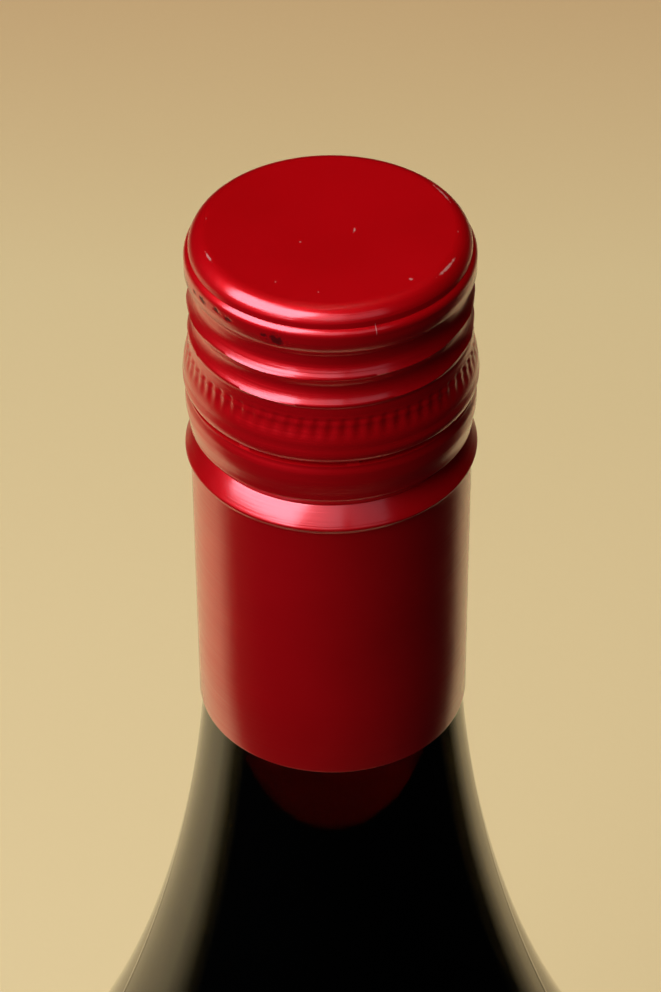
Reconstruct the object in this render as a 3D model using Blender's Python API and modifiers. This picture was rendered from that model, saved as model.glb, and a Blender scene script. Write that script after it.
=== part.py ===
"""A full, unopened 75 cl wine bottle of the sloping-shoulder kind, closed by a long red
aluminium screw cap. Metres, +Z up, standing on the origin.

bottle_glass  one hollow glass wall, from the punt in its base to its mouth
red_wine      what fills it, up to a level that the sleeve of the cap hides
screw_cap     cap and sleeve, one drawn shell that its bridges still hold together
"""

import math

import bmesh
import bpy

MM = 0.001

# The whole bottle
HEIGHT = 296 * MM
GLASS_FACETS = 56
WINE_FACETS = 40
SAME_PLACE = 0.01 * MM         # nearer than this, two heights count as one

# Glass, outside: a straight neck, a hollow flare, a round shoulder and a straight body
FINISH_RADIUS = 13.0 * MM      # the neck's plain end, which the cap is rolled on to
FINISH_DEPTH = 27 * MM
NECK_RADIUS = 13.5 * MM
NECK_DEPTH = 31 * MM
BODY_RADIUS = 41.2 * MM
FLARE_DEPTH = 46.5 * MM        # where the neck starts to widen, below the cap's top
FLARE_RADIUS = 182 * MM
FLARE_STEPS = 5
SHOULDER_DEPTH = 172 * MM      # where the shoulder has become the straight body
SHOULDER_STEPS = 5
HEEL_RADIUS = 8 * MM
HEEL_STEPS = 4
LIP_DEPTH = 1.0 * MM
LIP_RADIUS = 12.0 * MM
LIP_ROUND = 3 * MM

# Glass, inside
WALL = 3.2 * MM
MOUTH_RADIUS = 9.3 * MM
MOUTH_DEPTH = 10 * MM          # the narrow mouth ends here
BORE_DEPTH = 30 * MM           # and has opened to the neck's own bore here
FLOOR = 6 * MM
FLOOR_ROUND = 4 * MM
FLOOR_STEPS = 2

# Punt, the dome pushed up into the base
PUNT_RADIUS = 28 * MM
PUNT_HEIGHT = 22 * MM
PUNT_WALL = 4 * MM
PUNT_STEPS = 4

# Wine
FILL_DEPTH = 56 * MM
WINE_GAP = 0.3 * MM

# Cap and sleeve: depths are measured down from the cap's top
CAP_LENGTH = 60 * MM
SLEEVE_RADIUS = 14.45 * MM
SHELL = 0.25 * MM
ROUND_STEPS = 4
FOOT_STEPS = 2
TOP_FLAT_RADIUS = 12.15 * MM
CREASE_RADIUS = 14.03 * MM     # a fine crease parts the round top from the rim below it
CREASE_DEPTH = 1.95 * MM
CREASE_ANGLE = 14              # degrees, where the top's round stops short of the crease
RIM_RADIUS = 14.5 * MM
RIM_ROUND = 1.0 * MM
RIM_START_ANGLE = 56           # degrees, where the rim's round leaves the crease
RIM_DEPTH = 2.8 * MM
RIM_FOOT_DEPTH = 4.4 * MM

# Thread: the shell is rolled into the bottle's thread, a groove that climbs to the right
THREAD_TOP_DEPTH = 5.1 * MM
THREAD_END_DEPTH = 12.3 * MM
THREAD_FADE = 0.9 * MM
THREAD_RADIUS = 14.38 * MM
THREAD_ROWS = 14
THREAD_RUNOUT_DEPTH = 10.9 * MM  # the groove gets shallow below this
THREAD_RUNOUT = 0.7              # and has lost this share of its depth at its end
GROOVE = 0.7 * MM
GROOVE_PITCH = 3.25 * MM
GROOVE_FRONT_DEPTH = 9.45 * MM
GROOVE_RISE = 1.7              # how the groove's lower side rises: 1 is straight, 2 round
CLIMB_AT_BACK = 0.75           # the share of the climb that lies round the back
RECESS_DEPTH = 5.75 * MM       # a plain recess under the rim, which the thread runs into
RECESS_WIDTH = 2.9 * MM

# Grip band with its pressed flutes, one to each facet of the shell
FLUTES = 66
FLUTE_TOP_DEPTH = 12.6 * MM
FLUTE_END_DEPTH = 15.6 * MM
FLUTE_TOP_RADIUS = 14.45 * MM
FLUTE_END_RADIUS = 14.85 * MM
FLUTE_PRESSED = 0.16 * MM
FLUTE_LAND = 0.26 * MM
GRIP_RADIUS = 15.0 * MM
GRIP_DEPTH = 16.8 * MM
GRIP_FOOT_DEPTH = 17.8 * MM

# Tear line: slots through the shell with a bridge left between each two
TEAR_DEPTH = 18.1 * MM
TEAR_RADIUS = 14.4 * MM
TEAR_SLOT = 0.3 * MM
BRIDGES = 8
BRIDGE_ANGLE = math.radians(5)
FIRST_BRIDGE_ANGLE = math.radians(6)
SLOT_STEPS = 6
CUTTER_MARGIN = 0.5 * MM

# Band and bead below the tear line
BAND_RADIUS = 14.8 * MM
BAND_TOP_DEPTH = 19.3 * MM
BAND_DEPTH = 20.2 * MM
TUCK_RADIUS = 14.45 * MM       # where the band is rolled in under the bottle's neck ring
TUCK_DEPTH = 22.8 * MM
BEAD_RADIUS = 15.0 * MM
BEAD_DEPTH = 26.2 * MM
BEAD_EDGE = 0.35 * MM          # the bead's edge is this round, and its flank nearly flat
BEAD_FLANK = 19.6 * MM
BEAD_FLANK_ANGLES = (38, 31)   # degrees, from the tuck down to the edge
BEAD_EDGE_END_ANGLE = -64
BEAD_FOOT_DEPTH = 26.9 * MM
FOOT_START_ANGLE = -30         # degrees, the first step under the grip band

# Inside of the shell
CAP_INNER_TOP_DEPTH = 0.35 * MM
CAP_INNER_CORNER = 12.1 * MM
CAP_BORE_TOP_DEPTH = 3.2 * MM
CAP_BORE_RADIUS = 13.3 * MM
CAP_BORE_END_DEPTH = 24.0 * MM
SLEEVE_BORE_DEPTH = 25.4 * MM
SHARP_ANGLE = math.radians(35)

# Colours, linear, as the photo shows them
GLASS_COLOUR = (0.012, 0.014, 0.006)
GLASS_ROUGHNESS = 0.05
GLASS_CLEARNESS = 0.6
WINE_COLOUR = (0.05, 0.001, 0.004)
WINE_ROUGHNESS = 0.05
WINE_CLEARNESS = 0.3
CAP_COLOUR = (0.42, 0.004, 0.012)
CAP_ROUGHNESS = 0.3
CAP_METALLIC = 0.9


def new_collection(name):
    collection = bpy.data.collections.new(name)
    bpy.context.scene.collection.children.link(collection)
    return collection


def material(name, colour, roughness, metallic, clearness):
    made = bpy.data.materials.new(name)
    made.use_nodes = True
    shader = made.node_tree.nodes["Principled BSDF"]
    shader.inputs["Base Color"].default_value = (*colour, 1)
    shader.inputs["Roughness"].default_value = roughness
    shader.inputs["Metallic"].default_value = metallic
    shader.inputs["Transmission Weight"].default_value = clearness
    return made


def arc(centre, across, down, start, end, steps):
    """Points of an ellipse's arc, (radius, height) pairs. Angles go from the outward
    direction, 0, up to the axis direction, 90, in degrees."""
    points = []
    for i in range(steps + 1):
        angle = math.radians(start + (end - start) * i / steps)
        points.append((centre[0] + across * math.cos(angle), centre[1] + down * math.sin(angle)))
    return points


def at_depth(radius, depth):
    return (radius, HEIGHT - depth)


def turned(name, profile, facets, collection):
    """A profile at +X, turned once round the Z axis."""
    mesh = bpy.data.meshes.new(name)
    points = [(radius, 0, height) for radius, height in profile]
    mesh.from_pydata(points, [(i, i + 1) for i in range(len(points) - 1)], [])
    obj = bpy.data.objects.new(name, mesh)
    collection.objects.link(obj)
    screw = obj.modifiers.new("turn", "SCREW")
    screw.steps = facets
    screw.render_steps = facets
    screw.use_merge_vertices = True
    screw.merge_threshold = 0.001 * MM
    screw.use_smooth_shade = True
    return obj


def made_mesh(obj):
    """Replaces an object's modifiers by the mesh that they make."""
    evaluated = obj.evaluated_get(bpy.context.evaluated_depsgraph_get())
    mesh = bpy.data.meshes.new_from_object(evaluated)
    obj.modifiers.clear()
    obj.data = mesh
    mesh.name = obj.name
    return obj


def shoulder_arcs(inset):
    """The flare and the shoulder, top to bottom, moved into the glass by inset. The two
    arcs meet at one slope, which the neck's and the body's sizes settle."""
    widening = BODY_RADIUS - NECK_RADIUS
    length = SHOULDER_DEPTH - FLARE_DEPTH
    slope = 2 * math.degrees(math.atan(widening / length))
    both_radii = length / math.sin(math.radians(slope))
    shoulder_radius = both_radii - FLARE_RADIUS
    flare_centre = at_depth(NECK_RADIUS + FLARE_RADIUS, FLARE_DEPTH)
    shoulder_centre = at_depth(BODY_RADIUS - shoulder_radius, SHOULDER_DEPTH)
    flare = FLARE_RADIUS + inset
    shoulder = shoulder_radius - inset
    points = arc(flare_centre, flare, flare, 180, 180 + slope, FLARE_STEPS)
    points += arc(shoulder_centre, shoulder, shoulder, slope, 0, SHOULDER_STEPS)[1:]
    return points


def punt_arc(offset, foot):
    """The punt's dome, its foot at height foot, from the foot up to the axis. It is part
    of a ball, moved outwards from its underside by offset."""
    ball_radius = (PUNT_RADIUS**2 + PUNT_HEIGHT**2) / (2 * PUNT_HEIGHT)
    middle = PUNT_HEIGHT - ball_radius
    radius = ball_radius + offset
    foot_angle = math.degrees(math.asin((foot - middle) / radius))
    points = arc((0, middle), radius, radius, foot_angle, 90, PUNT_STEPS)
    points[-1] = (0, PUNT_HEIGHT + offset)
    return points


def inside(gap):
    """The hollow's outline from the punt's tip out, and up the wall to the flare's start,
    moved inwards by gap."""
    floor = FLOOR + gap
    points = punt_arc(PUNT_WALL + gap, floor)[::-1]
    corner = (BODY_RADIUS - WALL - gap - FLOOR_ROUND, floor + FLOOR_ROUND)
    points += arc(corner, FLOOR_ROUND, FLOOR_ROUND, -90, 0, FLOOR_STEPS)
    points += shoulder_arcs(WALL + gap)[::-1]
    return points


def make_glass(collection):
    profile = inside(0)
    profile.append(at_depth(NECK_RADIUS - WALL, BORE_DEPTH))
    profile.append(at_depth(MOUTH_RADIUS, MOUTH_DEPTH))
    profile.append(at_depth(MOUTH_RADIUS, LIP_DEPTH))
    profile.append(at_depth(LIP_RADIUS, LIP_DEPTH))
    profile.append(at_depth(FINISH_RADIUS, LIP_DEPTH + LIP_ROUND))
    profile.append(at_depth(FINISH_RADIUS, FINISH_DEPTH))
    profile.append(at_depth(NECK_RADIUS, NECK_DEPTH))
    profile += shoulder_arcs(0)
    heel = (BODY_RADIUS - HEEL_RADIUS, HEEL_RADIUS)
    profile += arc(heel, HEEL_RADIUS, HEEL_RADIUS, 0, -90, HEEL_STEPS)
    profile += punt_arc(0, 0)
    glass = turned("bottle_glass", profile, GLASS_FACETS, collection)
    colour = material("dark_green_glass", GLASS_COLOUR, GLASS_ROUGHNESS, 0, GLASS_CLEARNESS)
    glass.data.materials.append(colour)


def make_wine(collection):
    level = HEIGHT - FILL_DEPTH
    below = [point for point in inside(WINE_GAP) if point[1] < level]
    profile = [(0, level), (NECK_RADIUS - WALL - WINE_GAP, level)] + below[::-1]
    wine = turned("red_wine", profile, WINE_FACETS, collection)
    colour = material("red_wine", WINE_COLOUR, WINE_ROUGHNESS, 0, WINE_CLEARNESS)
    wine.data.materials.append(colour)


def bump(distance, width):
    """1 at the middle of a groove, 0 at its edges, smooth between."""
    if abs(distance) > width / 2:
        return 0.0
    return (1 + math.cos(math.tau * distance / width)) / 2


def thread_radius(depth, angle):
    """The shell's radius in the thread, at an angle that runs from the front to the right.
    A groove's upper side is a sharp edge, and its lower side rises gently to the crest."""
    climb = (angle - CLIMB_AT_BACK * math.sin(angle)) / math.tau
    place = ((depth - GROOVE_FRONT_DEPTH) / GROOVE_PITCH + climb + 0.5) % 1 - 0.5
    wave = 1 - abs(2 * place) ** (GROOVE_RISE if place > 0 else 2)
    wave *= min(1, (THREAD_END_DEPTH + THREAD_FADE - depth) / THREAD_FADE / 2)
    runout = min(1, max(0, (depth - THREAD_RUNOUT_DEPTH) / THREAD_FADE))
    wave *= 1 - THREAD_RUNOUT * runout
    recess = bump(depth - RECESS_DEPTH, RECESS_WIDTH)
    return THREAD_RADIUS - GROOVE * (1 - (1 - wave) * (1 - recess))


def top_and_rim():
    """The shell's outside from the middle of the top to the rim's foot."""
    start = (TOP_FLAT_RADIUS, HEIGHT - CREASE_DEPTH)
    across = CREASE_RADIUS - TOP_FLAT_RADIUS
    points = [at_depth(0, 0)]
    points += arc(start, across, CREASE_DEPTH, 90, CREASE_ANGLE, ROUND_STEPS)
    points.append(at_depth(CREASE_RADIUS, CREASE_DEPTH))
    start = (RIM_RADIUS - RIM_ROUND, HEIGHT - RIM_DEPTH)
    points += arc(start, RIM_ROUND, RIM_ROUND, RIM_START_ANGLE, 0, ROUND_STEPS)
    points.append(at_depth(RIM_RADIUS, RIM_FOOT_DEPTH))
    return points


def foot(inner, outer, depth, end_depth):
    """The round under a ring, from its widest depth in to where it ends."""
    start = (inner, HEIGHT - depth)
    return arc(start, outer - inner, end_depth - depth, FOOT_START_ANGLE, -90, FOOT_STEPS)


def bead():
    """The ring rolled under the neck ring, from the tuck down to the sleeve."""
    start, end = BEAD_FLANK_ANGLES
    edge = (BEAD_RADIUS - BEAD_EDGE, HEIGHT - BEAD_DEPTH)
    back = BEAD_FLANK - BEAD_EDGE
    across = back * math.cos(math.radians(end))
    up = back * math.sin(math.radians(end))
    flank = (edge[0] - across, edge[1] - up)
    points = arc(flank, BEAD_FLANK, BEAD_FLANK, start, end, FOOT_STEPS)
    points += arc(edge, BEAD_EDGE, BEAD_EDGE, end, BEAD_EDGE_END_ANGLE, FOOT_STEPS)[1:]
    points.append(at_depth(SLEEVE_RADIUS, BEAD_FOOT_DEPTH))
    return points


def cap_profile():
    """The shell's outline: the top from the axis, down the outside and up the inside."""
    profile = top_and_rim()
    spacing = (THREAD_END_DEPTH - THREAD_TOP_DEPTH) / (THREAD_ROWS - 1)
    for row in range(THREAD_ROWS):
        profile.append(at_depth(THREAD_RADIUS, THREAD_TOP_DEPTH + spacing * row))
    profile.append(at_depth(FLUTE_TOP_RADIUS, FLUTE_TOP_DEPTH))
    profile.append(at_depth(FLUTE_END_RADIUS, FLUTE_END_DEPTH))
    profile.append(at_depth(GRIP_RADIUS, GRIP_DEPTH))
    profile += foot(TEAR_RADIUS, GRIP_RADIUS, GRIP_DEPTH, GRIP_FOOT_DEPTH)
    profile.append(at_depth(TEAR_RADIUS, TEAR_DEPTH + TEAR_SLOT))
    profile.append(at_depth(BAND_RADIUS, BAND_TOP_DEPTH))
    profile.append(at_depth(BAND_RADIUS, BAND_DEPTH))
    profile.append(at_depth(TUCK_RADIUS, TUCK_DEPTH))
    profile += bead()
    profile.append(at_depth(SLEEVE_RADIUS, CAP_LENGTH))
    profile.append(at_depth(SLEEVE_RADIUS - SHELL, CAP_LENGTH))
    profile.append(at_depth(SLEEVE_RADIUS - SHELL, SLEEVE_BORE_DEPTH))
    profile.append(at_depth(CAP_BORE_RADIUS, CAP_BORE_END_DEPTH))
    profile.append(at_depth(CAP_BORE_RADIUS, CAP_BORE_TOP_DEPTH))
    profile.append(at_depth(CAP_INNER_CORNER, CAP_INNER_TOP_DEPTH))
    profile.append(at_depth(0, CAP_INNER_TOP_DEPTH))
    return profile


def press_thread(mesh):
    """Presses the thread's groove and recesses into the outside of the shell."""
    for vertex in mesh.verts:
        radius = math.hypot(vertex.co.x, vertex.co.y)
        depth = HEIGHT - vertex.co.z
        if radius < CAP_BORE_RADIUS + SHELL:
            continue
        if THREAD_TOP_DEPTH - SAME_PLACE < depth < THREAD_END_DEPTH + SAME_PLACE:
            pressed = thread_radius(depth, math.atan2(vertex.co.x, -vertex.co.y))
            vertex.co.x *= pressed / radius
            vertex.co.y *= pressed / radius


def press_flutes(mesh):
    """Presses one flute into each facet of the grip band, with a land left between."""
    middle = HEIGHT - (FLUTE_TOP_DEPTH + FLUTE_END_DEPTH) / 2
    band = []
    for face in mesh.faces:
        centre = face.calc_center_median()
        if abs(centre.z - middle) < SAME_PLACE and centre.xy.length > CAP_BORE_RADIUS + SHELL:
            band.append(face)
    bmesh.ops.inset_individual(
        mesh, faces=band, thickness=FLUTE_LAND, depth=-FLUTE_PRESSED, use_even_offset=True
    )


def make_slot_cutter(collection):
    """Short arcs of a ring round the tear line, which leave the bridges standing."""
    spacing = math.tau / BRIDGES
    inner = CAP_BORE_RADIUS - CUTTER_MARGIN
    outer = GRIP_RADIUS + CUTTER_MARGIN
    upper = HEIGHT - TEAR_DEPTH + TEAR_SLOT / 2
    lower = upper - TEAR_SLOT
    shape = bmesh.new()
    for bridge in range(BRIDGES):
        start = FIRST_BRIDGE_ANGLE + BRIDGE_ANGLE / 2 + spacing * bridge
        corners = []
        for radius, height in ((inner, lower), (outer, lower), (outer, upper), (inner, upper)):
            across = radius * math.sin(start)
            forward = -radius * math.cos(start)
            corners.append(shape.verts.new((across, forward, height)))
        end_face = shape.faces.new(corners)
        bmesh.ops.spin(
            shape,
            geom=[end_face, *end_face.edges, *end_face.verts],
            axis=(0, 0, 1),
            cent=(0, 0, 0),
            angle=spacing - BRIDGE_ANGLE,
            steps=SLOT_STEPS,
        )
    bmesh.ops.recalc_face_normals(shape, faces=shape.faces)
    mesh = bpy.data.meshes.new("tear_slots")
    shape.to_mesh(mesh)
    shape.free()
    obj = bpy.data.objects.new("tear_slots", mesh)
    obj.hide_render = True
    obj.display_type = "WIRE"
    collection.objects.link(obj)
    return obj


def make_cap(collection, cutters):
    cap = made_mesh(turned("screw_cap", cap_profile(), FLUTES, collection))
    shape = bmesh.new()
    shape.from_mesh(cap.data)
    press_thread(shape)
    press_flutes(shape)
    shape.to_mesh(cap.data)
    shape.free()
    cap.data.shade_smooth()
    cap.data.set_sharp_from_angle(angle=SHARP_ANGLE)
    slots = cap.modifiers.new("tear line", "BOOLEAN")
    slots.operation = "DIFFERENCE"
    slots.solver = "EXACT"
    slots.object = make_slot_cutter(cutters)
    colour = material("red_lacquered_aluminium", CAP_COLOUR, CAP_ROUGHNESS, CAP_METALLIC, 0)
    cap.data.materials.append(colour)


def main():
    for obj in list(bpy.data.objects):
        bpy.data.objects.remove(obj)
    bottle = new_collection("wine_bottle")
    cutters = new_collection("cutters")
    make_glass(bottle)
    make_wine(bottle)
    make_cap(bottle, cutters)


main()
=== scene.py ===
"""A full, unopened wine bottle under a long red screw cap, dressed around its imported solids.
Metres, +Z up. The bottle stands on the origin and the side that the camera sees faces -Y."""

import math

import bmesh
import bpy
from mathutils import Matrix, Vector


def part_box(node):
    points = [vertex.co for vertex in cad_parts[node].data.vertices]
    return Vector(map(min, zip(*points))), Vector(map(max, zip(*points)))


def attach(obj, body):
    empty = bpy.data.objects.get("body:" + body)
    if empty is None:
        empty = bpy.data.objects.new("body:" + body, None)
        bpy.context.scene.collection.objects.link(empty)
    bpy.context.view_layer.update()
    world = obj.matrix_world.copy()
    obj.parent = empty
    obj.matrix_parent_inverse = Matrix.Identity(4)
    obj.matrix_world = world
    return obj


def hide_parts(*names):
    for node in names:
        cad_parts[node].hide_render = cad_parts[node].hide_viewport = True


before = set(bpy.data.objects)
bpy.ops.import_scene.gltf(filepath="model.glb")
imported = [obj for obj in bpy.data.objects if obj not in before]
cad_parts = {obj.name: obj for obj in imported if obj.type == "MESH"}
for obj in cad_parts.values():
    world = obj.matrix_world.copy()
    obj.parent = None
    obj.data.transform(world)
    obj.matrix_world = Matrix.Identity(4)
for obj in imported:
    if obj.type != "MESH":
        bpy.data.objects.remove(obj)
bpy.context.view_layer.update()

# The camera stands in front of the cap and a little above it, close enough for the neck to
# narrow towards the foot of the picture. It is rolled by a third of a degree.
MM = 0.001
CAP_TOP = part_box("screw_cap")[1].z
CAMERA_PLACE = (0, -277.2 * MM, CAP_TOP + 194.5 * MM)
CAMERA_PITCH = math.radians(-39.5)
CAMERA_YAW = math.radians(0.025)
CAMERA_ROLL = math.radians(-0.32)

lens = bpy.data.cameras.new("camera")
lens.sensor_width = 36
lens.lens = 125.2
lens.clip_start = 0.01
camera = bpy.data.objects.new("camera", lens)
bpy.context.scene.collection.objects.link(camera)
facing = Matrix.Rotation(CAMERA_YAW, 3, "Z") @ Matrix.Rotation(math.pi / 2 + CAMERA_PITCH, 3, "X")
camera.rotation_euler = (facing @ Matrix.Rotation(CAMERA_ROLL, 3, "Z")).to_euler()
camera.location = CAMERA_PLACE
bpy.context.scene.camera = camera
bpy.context.scene.view_settings.view_transform = "Standard"

# The bottle is one wall of dark soda-lime glass, blown in a mould and fire-polished: a
# straight neck, a hollow flare, a round shoulder, and a base pushed up into a punt.
FINISH_RADIUS = 13.0 * MM
FINISH_DEPTH = 27 * MM
NECK_RADIUS = 13.5 * MM
NECK_DEPTH = 31 * MM
BODY_RADIUS = 41.2 * MM
FLARE_DEPTH = 46.5 * MM
FLARE_RADIUS = 182 * MM
SHOULDER_DEPTH = 172 * MM
HEEL_RADIUS = 8 * MM
LIP_DEPTH = 1.0 * MM
LIP_RADIUS = 11.4 * MM
LIP_ROUND = 1.4 * MM
WALL = 3.2 * MM
MOUTH_RADIUS = 9.3 * MM
MOUTH_DEPTH = 10 * MM
MOUTH_ROUND = 1.0 * MM
BORE_DEPTH = 30 * MM
FLOOR = 6 * MM
FLOOR_ROUND = 4 * MM
PUNT_RADIUS = 28 * MM
PUNT_HEIGHT = 22 * MM
PUNT_WALL = 4 * MM
WAVE_HEIGHT = 0.12 * MM
SEAM_HEIGHT = 0.05 * MM
SEAM_CREST = 0.1 * MM
SEAM_EDGE = 0.5 * MM
TURN_STEPS = 192
SHOULDER_STEPS = 28
PUNT_STEPS = 24
HEEL_STEPS = 16
CORNER_STEPS = 8
LIP_STEPS = 6
LIP_START = 80
WELDED_WITHIN = 0.0005 * MM


def at_depth(radius, depth):
    """A point of an outline, at a radius and at a depth below the top of the cap."""
    return (radius, CAP_TOP - depth)


def arc(centre, across, down, start, end, steps):
    """Points of an ellipse's arc: 0 degrees is outward and 90 is up."""
    points = []
    for i in range(steps + 1):
        angle = math.radians(start + (end - start) * i / steps)
        points.append((centre[0] + across * math.cos(angle), centre[1] + down * math.sin(angle)))
    return points


def shoulder(inset):
    """Flare and shoulder, top to bottom, moved into the glass by inset."""
    length = SHOULDER_DEPTH - FLARE_DEPTH
    slope = 2 * math.degrees(math.atan((BODY_RADIUS - NECK_RADIUS) / length))
    round_radius = length / math.sin(math.radians(slope)) - FLARE_RADIUS
    flare = FLARE_RADIUS + inset
    round_inset = round_radius - inset
    centre = at_depth(NECK_RADIUS + FLARE_RADIUS, FLARE_DEPTH)
    points = arc(centre, flare, flare, 180, 180 + slope, SHOULDER_STEPS)
    centre = at_depth(BODY_RADIUS - round_radius, SHOULDER_DEPTH)
    return points + arc(centre, round_inset, round_inset, slope, 0, SHOULDER_STEPS)[1:]


def punt(offset, foot):
    """The punt's dome from its foot up to the axis, moved out from its underside."""
    ball = (PUNT_RADIUS**2 + PUNT_HEIGHT**2) / (2 * PUNT_HEIGHT)
    middle = PUNT_HEIGHT - ball
    radius = ball + offset
    foot_angle = math.degrees(math.asin((foot - middle) / radius))
    dome = arc((0, middle), radius, radius, foot_angle, 90, PUNT_STEPS)
    return dome[:-1] + [(0, PUNT_HEIGHT + offset)]


def hollow(gap):
    """The inside of the bottle from the punt's tip out and up to the neck, moved in by gap."""
    points = punt(PUNT_WALL + gap, FLOOR + gap)[::-1]
    corner = (BODY_RADIUS - WALL - gap - FLOOR_ROUND, FLOOR + gap + FLOOR_ROUND)
    points += arc(corner, FLOOR_ROUND, FLOOR_ROUND, -90, 0, CORNER_STEPS)
    return points + shoulder(WALL + gap)[::-1]


def spun(name, outline, steps):
    """An outline that starts and ends on the axis, spun round it into a closed body: first
    one eighth of a turn, and then copies of that."""
    shape = bmesh.new()
    points = [shape.verts.new((0, -radius, height)) for radius, height in outline]
    edges = [shape.edges.new(pair) for pair in zip(points, points[1:])]
    turn = {"cent": (0, 0, 0), "axis": (0, 0, 1)}
    bmesh.ops.spin(shape, geom=points + edges, angle=math.tau / 8, steps=steps // 8, **turn)
    eighth = [*shape.verts, *shape.edges, *shape.faces]
    bmesh.ops.spin(shape, geom=eighth, angle=math.tau * 7 / 8, steps=7, use_duplicate=True, **turn)
    bmesh.ops.remove_doubles(shape, verts=shape.verts, dist=WELDED_WITHIN)
    bmesh.ops.recalc_face_normals(shape, faces=shape.faces)
    mesh = bpy.data.meshes.new(name)
    shape.to_mesh(mesh)
    shape.free()
    mesh.shade_smooth()
    piece = bpy.data.objects.new(name, mesh)
    bpy.context.scene.collection.objects.link(piece)
    return piece


def linear(code):
    """An sRGB colour such as 8A0F14 as the linear colour that a shader takes."""
    channels = [int(code[i : i + 2], 16) / 255 for i in (0, 2, 4)]
    return (*[c / 12.92 if c <= 0.04045 else ((c + 0.055) / 1.055) ** 2.4 for c in channels], 1)


def add(material, kind, links=(), sockets=None, **settings):
    """Adds a node with its settings, its socket values and its (from, to) links."""
    node = material.node_tree.nodes.new(kind)
    for name, value in settings.items():
        setattr(node, name, value)
    for name, value in (sockets or {}).items():
        node.inputs[name].default_value = value
    for source, socket in links:
        material.node_tree.links.new(source, node.inputs[socket])
    return node


def maths(material, operation, first, second=0.0):
    """A math node's result. Each input is a number or another node's output."""
    made = add(material, "ShaderNodeMath", operation=operation)
    for value, socket in zip((first, second), made.inputs):
        if isinstance(value, (int, float)):
            socket.default_value = value
        else:
            material.node_tree.links.new(value, socket)
    return made.outputs["Value"]


def vector_maths(material, operation, vector, constant=(0, 0, 0)):
    """A vector math node on another node's output and a constant."""
    made = add(material, "ShaderNodeVectorMath", links=[(vector, 0)], operation=operation)
    made.inputs[1].default_value = constant
    return made


def axes(material, vector):
    """A vector's three numbers."""
    parts = add(material, "ShaderNodeSeparateXYZ", links=[(vector, "Vector")])
    return [parts.outputs[axis] for axis in "XYZ"]


def new_material(name):
    """An empty node material."""
    made = bpy.data.materials.new(name)
    made.use_nodes = True
    made.node_tree.nodes.clear()
    return made


def object_space(material, scale):
    """Object coordinates times a scale along each axis: grains a metre at a noise scale of 1."""
    place = add(material, "ShaderNodeTexCoord")
    links = [(place.outputs["Object"], "Vector")]
    turned = add(material, "ShaderNodeMapping", links=links, sockets={"Scale": scale})
    return turned.outputs["Vector"]


def noise(material, vector, detail=2.0):
    """Soft noise from 0 to 1, with its middle at a half."""
    sockets = {"Scale": 1.0, "Detail": detail, "Roughness": 0.5}
    made = add(material, "ShaderNodeTexNoise", links=[(vector, "Vector")], sockets=sockets)
    return made.outputs["Fac"]


def ramp(material, factor, low, high, start, end):
    """A factor from low to high turned into a value from start to end."""
    sockets = {"From Min": low, "From Max": high, "To Min": start, "To Max": end}
    made = add(material, "ShaderNodeMapRange", links=[(factor, "Value")], sockets=sockets)
    return made.outputs["Result"]


def mixed(material, factor, first, second):
    """Two colours mixed by a factor. Each is an sRGB code or another node's output."""
    made = add(material, "ShaderNodeMix", data_type="RGBA")
    material.node_tree.links.new(factor, made.inputs["Factor"])
    for colour, socket in ((first, made.inputs[6]), (second, made.inputs[7])):
        if isinstance(colour, str):
            socket.default_value = linear(colour)
        else:
            material.node_tree.links.new(colour, socket)
    return made.outputs[2]


def bumped(material, height, distance, before=None):
    """A bump whose height of 1 stands for a distance in metres."""
    links = [(height, "Height")] + ([(before, "Normal")] if before else [])
    sockets = {"Strength": 1.0, "Distance": distance}
    return add(material, "ShaderNodeBump", links=links, sockets=sockets).outputs["Normal"]


outline = hollow(0)
outline += [at_depth(NECK_RADIUS - WALL, BORE_DEPTH), at_depth(MOUTH_RADIUS, MOUTH_DEPTH)]
outline += [at_depth(MOUTH_RADIUS, LIP_DEPTH + MOUTH_ROUND)]
mouth = at_depth(MOUTH_RADIUS + MOUTH_ROUND, LIP_DEPTH + MOUTH_ROUND)
outline += arc(mouth, MOUTH_ROUND, MOUTH_ROUND, 180, 90, LIP_STEPS)
outline += [at_depth(LIP_RADIUS, LIP_DEPTH)]
lip = at_depth(FINISH_RADIUS - LIP_ROUND, LIP_DEPTH + LIP_ROUND)
outline += arc(lip, LIP_ROUND, LIP_ROUND, LIP_START, 0, LIP_STEPS)
outline += [at_depth(FINISH_RADIUS, FINISH_DEPTH), at_depth(NECK_RADIUS, NECK_DEPTH)]
outline += shoulder(0)
heel = (BODY_RADIUS - HEEL_RADIUS, HEEL_RADIUS)
outline += arc(heel, HEEL_RADIUS, HEEL_RADIUS, 0, -90, HEEL_STEPS)
outline += punt(0, 0)
bottle = spun("wine_bottle_glass", outline, TURN_STEPS)

# Dark bottle glass: olive brown in thin places, black over the wine, with a soft waviness
# from the mould, the mould's two seams down the sides, and a trace of dust on the shoulder.
glass = new_material("dark_bottle_glass")
waves = noise(glass, object_space(glass, (45, 45, 22)))
height = bumped(glass, waves, WAVE_HEIGHT)
across = axes(glass, object_space(glass, (1, 1, 1)))[1]
seam = ramp(glass, maths(glass, "ABSOLUTE", across), SEAM_CREST, SEAM_EDGE, 1, 0)
height = bumped(glass, seam, SEAM_HEIGHT, height)
dust = noise(glass, object_space(glass, (160, 160, 160)), detail=6.0)
surface = add(
    glass,
    "ShaderNodeBsdfPrincipled",
    links=[
        (height, "Normal"),
        (ramp(glass, dust, 0.45, 0.75, 0.015, 0.06), "Roughness"),
        (mixed(glass, waves, "8F8962", "857F5E"), "Base Color"),
    ],
    sockets={"IOR": 1.52, "Transmission Weight": 1.0},
)
add(glass, "ShaderNodeOutputMaterial", links=[(surface.outputs["BSDF"], "Surface")])
bottle.data.materials.append(glass)
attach(bottle, "root")
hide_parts("bottle_glass")

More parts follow.
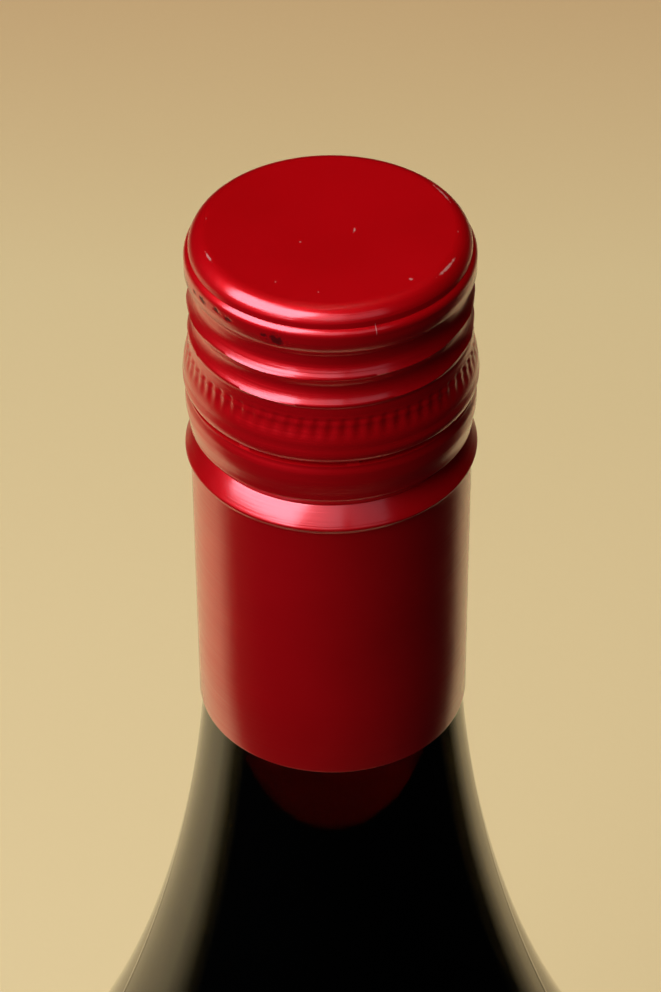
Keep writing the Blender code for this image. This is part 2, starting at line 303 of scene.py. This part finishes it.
# The wine fills the bottle up to the neck, where the sleeve hides its level. It reaches a
# twentieth of a millimetre into the glass, because liquid and wall touch all the way.
FILL_DEPTH = 56 * MM
WINE_INTO_WALL = 0.05 * MM
MENISCUS = 0.8 * MM
MENISCUS_WIDTH = 2.0 * MM
MENISCUS_BEND = 0.7 * MM
BEND_DEPTH = 0.6 * MENISCUS
CLEAR_OF_LEVEL = 1.0 * MM

level = CAP_TOP - FILL_DEPTH
below = [point for point in hollow(-WINE_INTO_WALL) if point[1] < level - CLEAR_OF_LEVEL]
neck = NECK_RADIUS - WALL + WINE_INTO_WALL
surface_line = [(0, level - MENISCUS), (neck - MENISCUS_WIDTH, level - MENISCUS)]
surface_line += [(neck - MENISCUS_BEND, level - BEND_DEPTH), (neck, level)]
wine = spun("wine", surface_line + below[::-1], TURN_STEPS)

# A clear liquid. Its depth alone colours it: it takes out green and blue within a few
# millimetres and red much more slowly, so it is black across the body and red in the neck.
drink = new_material("red_wine")
surface = add(
    drink,
    "ShaderNodeBsdfPrincipled",
    sockets={
        "Base Color": linear("FFFFFF"),
        "Roughness": 0.0,
        "IOR": 1.34,
        "Transmission Weight": 1.0,
    },
)
depth_colour = add(
    drink, "ShaderNodeVolumeAbsorption", sockets={"Color": (0.92, 0.0, 0.0, 1), "Density": 450}
)
add(
    drink,
    "ShaderNodeOutputMaterial",
    links=[(surface.outputs["BSDF"], "Surface"), (depth_colour.outputs["Volume"], "Volume")],
)
wine.data.materials.append(drink)
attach(wine, "root")
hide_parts("red_wine")

# Cap and sleeve are one shell, deep-drawn from aluminium sheet lacquered red. Rollers press
# it into the bottle's thread and under its neck ring, and knurl the grip band.
CAP_LENGTH = 60 * MM
SLEEVE_RADIUS = 14.45 * MM
SHELL = 0.25 * MM
TOP_FLAT_RADIUS = 12.15 * MM
CREASE_RADIUS = 14.06 * MM
CREASE_DEPTH = 1.95 * MM
RIM_ROUND = 1.0 * MM
RIM_RADIUS = 14.5 * MM
RIM_DEPTH = 2.8 * MM
RIM_WALL = 0.5 * MM
RIM_START = 56
CREASE_END = 14
CREASE_NOTCH = 0.03 * MM
THREAD_TOP_DEPTH = 4.3 * MM
THREAD_END_DEPTH = 12.3 * MM
THREAD_FADE = 0.9 * MM
THREAD_RUNOUT_DEPTH = 10.9 * MM
THREAD_RUNOUT = 0.7
THREAD_RADIUS = 14.38 * MM
THREAD_ROW = 0.18 * MM
GROOVE = 0.7 * MM
GROOVE_PITCH = 3.25 * MM
GROOVE_FRONT_DEPTH = 9.45 * MM
GROOVE_DROP = 2
GROOVE_RISE = 1.7
CLIMB_AT_BACK = 0.75
RECESS_DEPTH = 5.75 * MM
RECESS_WIDTH = 2.9 * MM
FLUTES = 66
STEPS_A_FLUTE = 8
FLUTE_TOP_DEPTH = 12.3 * MM
FLUTE_END_DEPTH = 15.0 * MM
FLUTE_PRESSED = 0.12 * MM
FLUTE_TOP_SHARE = 0.18
FLUTE_FOOT_SHARE = 0.45
GRIP_RADIUS = 15.0 * MM
GRIP_DEPTH = 16.8 * MM
GRIP_FOOT_DEPTH = 17.8 * MM
GRIP_FOOT_START = -15
TEAR_DEPTH = 18.1 * MM
TEAR_RADIUS = 14.4 * MM
TEAR_SLOT = 0.3 * MM
BRIDGES = 8
BRIDGE_STEPS = 7
FIRST_BRIDGE_STEP = 9
SLOT_FROM_RADIUS = 13 * MM
TUCK_RADIUS = 14.25 * MM
TUCK_DEPTH = 23.0 * MM
BEAD_RADIUS = 15.0 * MM
BEAD_DEPTH = 26.2 * MM
BEAD_EDGE = 0.35 * MM
BEAD_EDGE_END = -64
BEAD_FLANK = 19.6 * MM
FLANK_START = 38
FLANK_END = 31
CAP_BORE_RADIUS = 13.3 * MM
CAP_BORE_END_DEPTH = 24.0 * MM
SLEEVE_BORE_DEPTH = 25.4 * MM
SLEEVE_LIP = 0.06 * MM
TOP_SHEET = 0.35 * MM
TOP_SHEET_RADIUS = 12.1 * MM
CAP_BORE_TOP_DEPTH = 3.2 * MM
SHARP_ANGLE = 50

# Radius and depth in millimetres along the shell, and the length of its steps.
GRIP_KNOTS = ((14.48, 13.2), (14.88, 15.8), (15.0, 16.8))
BAND_KNOTS = ((14.58, 18.32), (14.8, 19.3), (14.8, 20.2), (14.45, 22.8))
BEAD_FOOT_KNOTS = ((14.46, 26.9), (14.45, 27.3))
SLEEVE_KNOTS = ((14.45, 28.0), (14.45, 59.7))
RING_STEP = 0.2
SLEEVE_STEP = 8.0


def eased(knots, spacing):
    """Points between (radius, depth) knots in millimetres, level with the axis at each."""
    points = []
    for (radius, depth), (next_radius, next_depth) in zip(knots, knots[1:]):
        steps = max(1, round((next_depth - depth) / spacing))
        for i in range(steps):
            t = i / steps
            ease = t * t * (3 - 2 * t)
            middle = radius + (next_radius - radius) * ease
            points.append(at_depth(middle * MM, (depth + (next_depth - depth) * t) * MM))
    return points + [at_depth(knots[-1][0] * MM, knots[-1][1] * MM)]


def bump(distance, width):
    """A round rise to 1 at no distance, level with 0 at half its width."""
    if abs(distance) > width / 2:
        return 0.0
    return (1 + math.cos(math.tau * distance / width)) / 2


def thread_press(depth, angle):
    """How far the shell is pressed in at a depth and an angle from the front to the right.
    A groove's upper side is a sharp edge, and its lower side rises gently to the crest."""
    climb = (angle - CLIMB_AT_BACK * math.sin(angle)) / math.tau
    place = ((depth - GROOVE_FRONT_DEPTH) / GROOVE_PITCH + climb + 0.5) % 1 - 0.5
    wave = 1 - abs(2 * place) ** (GROOVE_RISE if place > 0 else GROOVE_DROP)
    wave *= max(0, min(1, (THREAD_END_DEPTH + THREAD_FADE - depth) / THREAD_FADE / 2))
    wave *= min(1, (depth - THREAD_TOP_DEPTH) / THREAD_FADE)
    wave *= 1 - THREAD_RUNOUT * max(0, min(1, (depth - THREAD_RUNOUT_DEPTH) / THREAD_FADE))
    recess = bump(depth - RECESS_DEPTH, RECESS_WIDTH)
    return GROOVE * (1 - (1 - wave) * (1 - recess))


def flute_press(depth, angle):
    """One flute's hollow: round across, blunt at its top and running out at its foot."""
    across = (1 + math.cos(angle * FLUTES)) / 2
    along = (depth - FLUTE_TOP_DEPTH) / (FLUTE_END_DEPTH - FLUTE_TOP_DEPTH)
    if not 0 < along < 1:
        return 0.0
    ends = min(1, along / FLUTE_TOP_SHARE) * min(1, (1 - along) / FLUTE_FOOT_SHARE)
    return FLUTE_PRESSED * across * ends


outline = [at_depth(0, 0), at_depth(TOP_FLAT_RADIUS * 0.5, 0)]
round_centre = at_depth(TOP_FLAT_RADIUS, CREASE_DEPTH)
outline += arc(round_centre, CREASE_RADIUS - TOP_FLAT_RADIUS, CREASE_DEPTH, 90, CREASE_END, 14)
outline += [at_depth(CREASE_RADIUS - CREASE_NOTCH, CREASE_DEPTH)]
round_centre = at_depth(RIM_RADIUS - RIM_ROUND, RIM_DEPTH)
outline += arc(round_centre, RIM_ROUND, RIM_ROUND, RIM_START, 0, 12)
outline += [at_depth(RIM_RADIUS, RIM_DEPTH + RIM_WALL), at_depth(RIM_RADIUS, THREAD_TOP_DEPTH)]
rows = round((THREAD_END_DEPTH + THREAD_FADE - THREAD_TOP_DEPTH) / THREAD_ROW)
for row in range(1, rows):
    outline.append(at_depth(THREAD_RADIUS, THREAD_TOP_DEPTH + THREAD_ROW * row))
outline += eased(GRIP_KNOTS, RING_STEP)
grip_foot = at_depth(TEAR_RADIUS, GRIP_DEPTH)
across, down = GRIP_RADIUS - TEAR_RADIUS, GRIP_FOOT_DEPTH - GRIP_DEPTH
outline += arc(grip_foot, across, down, GRIP_FOOT_START, -90, 5)
outline += [at_depth(TEAR_RADIUS, TEAR_DEPTH - TEAR_SLOT / 2)]
outline += [at_depth(TEAR_RADIUS, TEAR_DEPTH + TEAR_SLOT / 2)]
outline += eased(BAND_KNOTS, RING_STEP)
outline += [at_depth(TUCK_RADIUS, TUCK_DEPTH)]
edge_centre = Vector(at_depth(BEAD_RADIUS - BEAD_EDGE, BEAD_DEPTH))
towards_edge = Vector((math.cos(math.radians(FLANK_END)), math.sin(math.radians(FLANK_END))))
flank_centre = edge_centre - towards_edge * (BEAD_FLANK - BEAD_EDGE)
outline += arc(flank_centre, BEAD_FLANK, BEAD_FLANK, FLANK_START, FLANK_END, 8)
outline += arc(edge_centre, BEAD_EDGE, BEAD_EDGE, FLANK_END, BEAD_EDGE_END, 8)[1:]
outline += eased(BEAD_FOOT_KNOTS, RING_STEP)
outline += eased(SLEEVE_KNOTS, SLEEVE_STEP)
outline += [at_depth(SLEEVE_RADIUS - SLEEVE_LIP, CAP_LENGTH)]
outline += [at_depth(SLEEVE_RADIUS - SHELL, CAP_LENGTH)]
outline += [at_depth(SLEEVE_RADIUS - SHELL, SLEEVE_BORE_DEPTH)]
outline += [at_depth(CAP_BORE_RADIUS, CAP_BORE_END_DEPTH)]
outline += [at_depth(CAP_BORE_RADIUS, TEAR_DEPTH + TEAR_SLOT / 2)]
outline += [at_depth(CAP_BORE_RADIUS, TEAR_DEPTH - TEAR_SLOT / 2)]
outline += [at_depth(CAP_BORE_RADIUS, CAP_BORE_TOP_DEPTH)]
outline += [at_depth(TOP_SHEET_RADIUS, TOP_SHEET), at_depth(0, TOP_SHEET)]
steps_a_turn = FLUTES * STEPS_A_FLUTE
cap = spun("screw_cap_and_sleeve", outline, steps_a_turn)

# Thread and flutes are pressed into the outside, and the slots of the tear line are cut
# through the shell between its bridges.
shape = bmesh.new()
shape.from_mesh(cap.data)
for vertex in shape.verts:
    radius = vertex.co.xy.length
    depth = CAP_TOP - vertex.co.z
    if radius < CAP_BORE_RADIUS + SHELL or not THREAD_TOP_DEPTH < depth < FLUTE_END_DEPTH:
        continue
    angle = math.atan2(vertex.co.x, -vertex.co.y)
    pressed = max(flute_press(depth, angle), thread_press(depth, angle))
    vertex.co.xy *= (radius - pressed) / radius

steps_a_slot = steps_a_turn // BRIDGES
slots = {}
for face in shape.faces:
    centre = face.calc_center_median()
    in_tear_line = abs(CAP_TOP - centre.z - TEAR_DEPTH) < TEAR_SLOT / 4
    if in_tear_line and centre.xy.length > SLOT_FROM_RADIUS:
        step = math.atan2(centre.x, -centre.y) / math.tau * steps_a_turn - FIRST_BRIDGE_STEP
        slot, place = divmod(step % steps_a_turn, steps_a_slot)
        if place > BRIDGE_STEPS:
            slots.setdefault(slot, []).append(face)
for faces in slots.values():
    inside = set(faces)
    rims = [e for f in faces for e in f.edges if sum(n in inside for n in e.link_faces) == 1]
    bmesh.ops.delete(shape, geom=faces, context="FACES")
    bmesh.ops.bridge_loops(shape, edges=rims)
shape.to_mesh(cap.data)
shape.free()
cap.data.set_sharp_from_angle(angle=math.radians(SHARP_ANGLE))

# Red lacquer over aluminium: clear and glossy on top, with the metal's soft sheen under it.
# Rolling marks run round it, and the lacquer is chipped off the rim at the front left. The
# bright flecks on the top and rim are partly dents and bare edges, and partly painted
# highlights: glints of light on the round edge, painted into the colour. Each mark is its angle
# from the front to the right, its radius and depth, half its angle across, and half its size the
# other way, in degrees and millimetres.
GRAIN_HEIGHT = 0.0016 * MM
ROLLED_HEIGHT = 0.02 * MM
CHIP_HEIGHT = 0.03 * MM
RAGGED = 0.3
MARK_CORE = 0.45
WALL_FROM_DEPTH = 1
WALL_MARK = 0.3
CHIPS = (
    (-21.0, 14.4, 3.5, 5.6, 0.75),
    (-26.0, 14.4, 3.35, 2.6, 0.36),
    (-43.0, 14.4, 3.2, 2.8, 0.42),
    (-49.4, 14.4, 3.0, 2.6, 0.34),
    (-58.6, 14.4, 3.2, 3.2, 0.46),
    (-65.5, 14.4, 3.3, 2.2, 0.34),
)
# Bright flecks: some are dents, scratches and bare edges, the rest are painted highlights where
# light glints.
GLINTS_AND_SCUFFS = (
    (42.0, 11.57, 0.0, 1.1, 0.25),
    (80.0, 2.4, 0.0, 12.0, 0.13),
    (-51.1, 3.76, 0.0, 2.0, 0.1),
    (-6.3, 10.7, 0.0, 0.5, 0.12),
    (-30.5, 10.4, 0.0, 0.5, 0.1),
    (87.0, 12.5, 0.1, 2.0, 0.08),
    (60.5, 13.0, 0.2, 8.5, 0.15),
    (119.0, 12.65, 0.1, 8.5, 0.17),
    (-68.5, 12.7, 0.1, 4.5, 0.13),
    (17.6, 14.2, 2.35, 0.22, 0.6),
    (27.1, 14.1, 7.95, 0.5, 0.12),
    (-98.0, 12.3, 0.1, 2.5, 0.09),
)


def round_space(material):
    """Angle from the front in degrees, radius and depth in millimetres, as one vector."""
    place = add(material, "ShaderNodeTexCoord")
    x, y, z = axes(material, place.outputs["Object"])
    angle = maths(material, "ARCTAN2", x, maths(material, "MULTIPLY", y, -1))
    degrees = ramp(material, angle, -math.pi, math.pi, -180, 180)
    flat = add(material, "ShaderNodeCombineXYZ", links=[(x, "X"), (y, "Y")])
    radius = vector_maths(material, "LENGTH", flat.outputs["Vector"])
    radius = ramp(material, radius.outputs["Value"], 0, 1, 0, 1000)
    depth = ramp(material, z, CAP_TOP - 0.1, CAP_TOP, 100, 0)
    links = [(degrees, "X"), (radius, "Y"), (depth, "Z")]
    return add(material, "ShaderNodeCombineXYZ", links=links).outputs["Vector"]


def marks(material, space, places, ragged):
    """1 inside any of the marks and 0 outside; ragged breaks their edges up. A mark on the
    cap's side is deep enough to reach through the rings there."""
    total = None
    for angle, radius, depth, half_angle, half_size in places:
        half_radius = max(half_size, WALL_MARK) if depth > WALL_FROM_DEPTH else half_size
        halves = (half_angle, half_radius, half_size)
        off = vector_maths(material, "SUBTRACT", space, (angle, radius, depth))
        near = vector_maths(material, "DIVIDE", off.outputs["Vector"], halves)
        away = vector_maths(material, "LENGTH", near.outputs["Vector"])
        torn = maths(material, "ADD", away.outputs["Value"], ragged)
        mark = ramp(material, torn, MARK_CORE, 1.0, 1, 0)
        total = mark if total is None else maths(material, "MAXIMUM", total, mark)
    return total


lacquer = new_material("red_lacquered_aluminium")
space = round_space(lacquer)
ragged = noise(lacquer, object_space(lacquer, (2200, 2200, 2200)))
ragged = ramp(lacquer, ragged, 0.3, 0.7, -RAGGED, RAGGED)
chipped = marks(lacquer, space, CHIPS, ragged)
glints_and_scuffs = marks(lacquer, space, GLINTS_AND_SCUFFS, ragged)
grain = noise(lacquer, object_space(lacquer, (900, 900, 900)), detail=3.0)
rolled = noise(lacquer, object_space(lacquer, (60, 60, 4200)), detail=3.0)
patches = noise(lacquer, object_space(lacquer, (70, 70, 70)))
red = mixed(lacquer, ramp(lacquer, patches, 0.35, 0.65, 0, 1), "D0030C", "D8040F")
# Painted highlights and real scuffs: the flecks turn the red towards a pale pink.
red = mixed(lacquer, ramp(lacquer, glints_and_scuffs, 0, 1, 0, 0.75), red, "F4A79C")
red = mixed(lacquer, ramp(lacquer, chipped, 0, 1, 0, 0.9), red, "2A0606")
height = bumped(lacquer, grain, GRAIN_HEIGHT)
height = bumped(lacquer, rolled, ROLLED_HEIGHT, height)
height = bumped(lacquer, chipped, -CHIP_HEIGHT, height)
surface = add(
    lacquer,
    "ShaderNodeBsdfPrincipled",
    links=[
        (red, "Base Color"),
        (height, "Normal"),
        (height, "Coat Normal"),
        (ramp(lacquer, rolled, 0.3, 0.7, 0.39, 0.46), "Roughness"),
        (ramp(lacquer, grain, 0.3, 0.7, 0.15, 0.2), "Coat Roughness"),
        (ramp(lacquer, chipped, 0, 1, 1, 0.2), "Coat Weight"),
        (ramp(lacquer, chipped, 0, 1, 0.6, 0), "Metallic"),
    ],
    sockets={"Specular IOR Level": 0.12, "Coat IOR": 1.7},
)
add(lacquer, "ShaderNodeOutputMaterial", links=[(surface.outputs["BSDF"], "Surface")])
cap.data.materials.append(lacquer)
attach(cap, "root")
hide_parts("screw_cap")

# The floor is a plain pale board. Only the camera sees it: lacquer and glass reflect a
# second board just under it, which is pale behind and close to the bottle and black round
# the front and the sides. That black is painted shade, a dark sheet for the unlit space in
# front that the cap and glass reflect. Angles are in degrees from the front to the right.
FLOOR_SIZE = 12.0
FAR_FROM = 0.4
FAR_TO = 0.62
TOOTH_HEIGHT = 0.02 * MM
BOARD_DROP = 2 * MM
BLACK_MIDDLE = 14
BLACK_HALF = 113
BLACK_FADE = 9
BLACK_FROM_MM = 80
BLACK_TO_MM = 130


def board_piece(name, height):
    """A level square of board round the bottle."""
    shape = bmesh.new()
    bmesh.ops.create_grid(shape, x_segments=1, y_segments=1, size=FLOOR_SIZE / 2)
    bmesh.ops.translate(shape, verts=shape.verts, vec=(0, 0, height))
    mesh = bpy.data.meshes.new(name)
    shape.to_mesh(mesh)
    shape.free()
    piece = bpy.data.objects.new(name, mesh)
    bpy.context.scene.collection.objects.link(piece)
    return piece


# Pale painted board: matt, its tone drifting a little and going browner far behind. The
# room's own light, which doesn't reach the bottle, is its faint glow.
floor = board_piece("floor", 0)
board = new_material("pale_board")
drift = noise(board, object_space(board, (4, 4, 4)))
tone = mixed(board, drift, "B9A87F", "B5A379")
along = axes(board, object_space(board, (1, 1, 1)))[1]
far = ramp(board, along, FAR_FROM, FAR_TO, 0, 1)
tone = mixed(board, far, tone, "AD8C63")
tooth = noise(board, object_space(board, (900, 900, 900)), detail=4.0)
surface = add(
    board,
    "ShaderNodeBsdfPrincipled",
    links=[
        (tone, "Base Color"),
        (tone, "Emission Color"),
        (bumped(board, tooth, TOOTH_HEIGHT), "Normal"),
        (ramp(board, tooth, 0.3, 0.7, 0.65, 0.78), "Roughness"),
    ],
    sockets={"Specular IOR Level": 0.2, "Emission Strength": 0.44},
)
add(board, "ShaderNodeOutputMaterial", links=[(surface.outputs["BSDF"], "Surface")])
floor.data.materials.append(board)
floor.visible_diffuse = False
floor.visible_glossy = False
floor.visible_transmission = False
floor.visible_shadow = False

# The reflected board: pale paint behind, and painted shade in black that fades into it at both
# ends.
mirror_floor = board_piece("floor_in_reflections", -BOARD_DROP)
painted_shade_board = new_material("pale_board_with_painted_shade")
angle, radius, _ = axes(painted_shade_board, round_space(painted_shade_board))
# Painted shade: black across the front and the sides, pale behind and near the bottle.
off = maths(painted_shade_board, "ABSOLUTE", maths(painted_shade_board, "SUBTRACT", angle, BLACK_MIDDLE))
pale = ramp(painted_shade_board, off, BLACK_HALF - BLACK_FADE, BLACK_HALF + BLACK_FADE, 0, 1)
near = ramp(painted_shade_board, radius, BLACK_FROM_MM, BLACK_TO_MM, 1, 0)
pale = maths(painted_shade_board, "MAXIMUM", pale, near)
drift = noise(painted_shade_board, object_space(painted_shade_board, (4, 4, 4)))
paint = mixed(painted_shade_board, drift, "DDC998", "D9C392")
surface = add(
    painted_shade_board,
    "ShaderNodeBsdfPrincipled",
    links=[(mixed(painted_shade_board, pale, "050505", paint), "Base Color")],
    sockets={"Roughness": 0.9, "Specular IOR Level": 0.1},
)
add(painted_shade_board, "ShaderNodeOutputMaterial", links=[(surface.outputs["BSDF"], "Surface")])
mirror_floor.data.materials.append(painted_shade_board)
mirror_floor.visible_camera = False


def softbox(name, place, aim, size, spread, power, colour):
    """A rectangular box of soft light. A spread under half a turn is a grid in front of it."""
    light = bpy.data.lights.new(name, "AREA")
    light.shape = "RECTANGLE"
    light.size, light.size_y = size
    light.spread = math.radians(spread)
    light.energy = power
    light.color = linear(colour)[:3]
    piece = bpy.data.objects.new(name, light)
    bpy.context.scene.collection.objects.link(piece)
    piece.location = place
    piece.rotation_euler = (Vector(aim) - Vector(place)).to_track_quat("-Z", "Y").to_euler()
    return piece


# A window at the left, a pale wall on each side of the camera, and two boxes overhead, for
# the floor behind and for the top of the cap, that aren't seen in reflections. Each is its
# name, place, aim, size in metres, spread in degrees, watts, colour and share in reflections.
LIGHTS = (
    ("window", (-0.47, -0.33, 0.76), (0, 0, 0.28), (0.8, 0.62), 180, 10.4, "DCE8FF", True),
    ("pale_wall", (-0.1, -0.8, 0.83), (0, 0, 0.28), (0.5, 0.55), 180, 0.9, "E8EEFF", True),
    ("far_wall", (0.42, -0.8, 0.83), (0, 0, 0.28), (0.5, 0.55), 180, 0.35, "E8EEFF", True),
    ("table_light", (-0.1, 0.45, 1.3), (-0.1, 0.35, 0), (1.2, 0.9), 50, 1.9, "FFEACB", False),
    ("top_light", (0, 0, 1.3), (0, 0, 0), (0.25, 0.25), 40, 0.17, "FFF4E8", False),
)
for *settings, reflected in LIGHTS:
    softbox(*settings).visible_glossy = reflected

# The room beyond the floor is plain and pale for the camera, and dark in reflections.
world = bpy.data.worlds.new("room")
bpy.context.scene.world = world
world.use_nodes = True
world.node_tree.nodes["Background"].inputs["Color"].default_value = linear("7E7254")
world.node_tree.nodes["Background"].inputs["Strength"].default_value = 1.0
world.cycles_visibility.diffuse = False
world.cycles_visibility.glossy = False
world.cycles_visibility.transmission = False
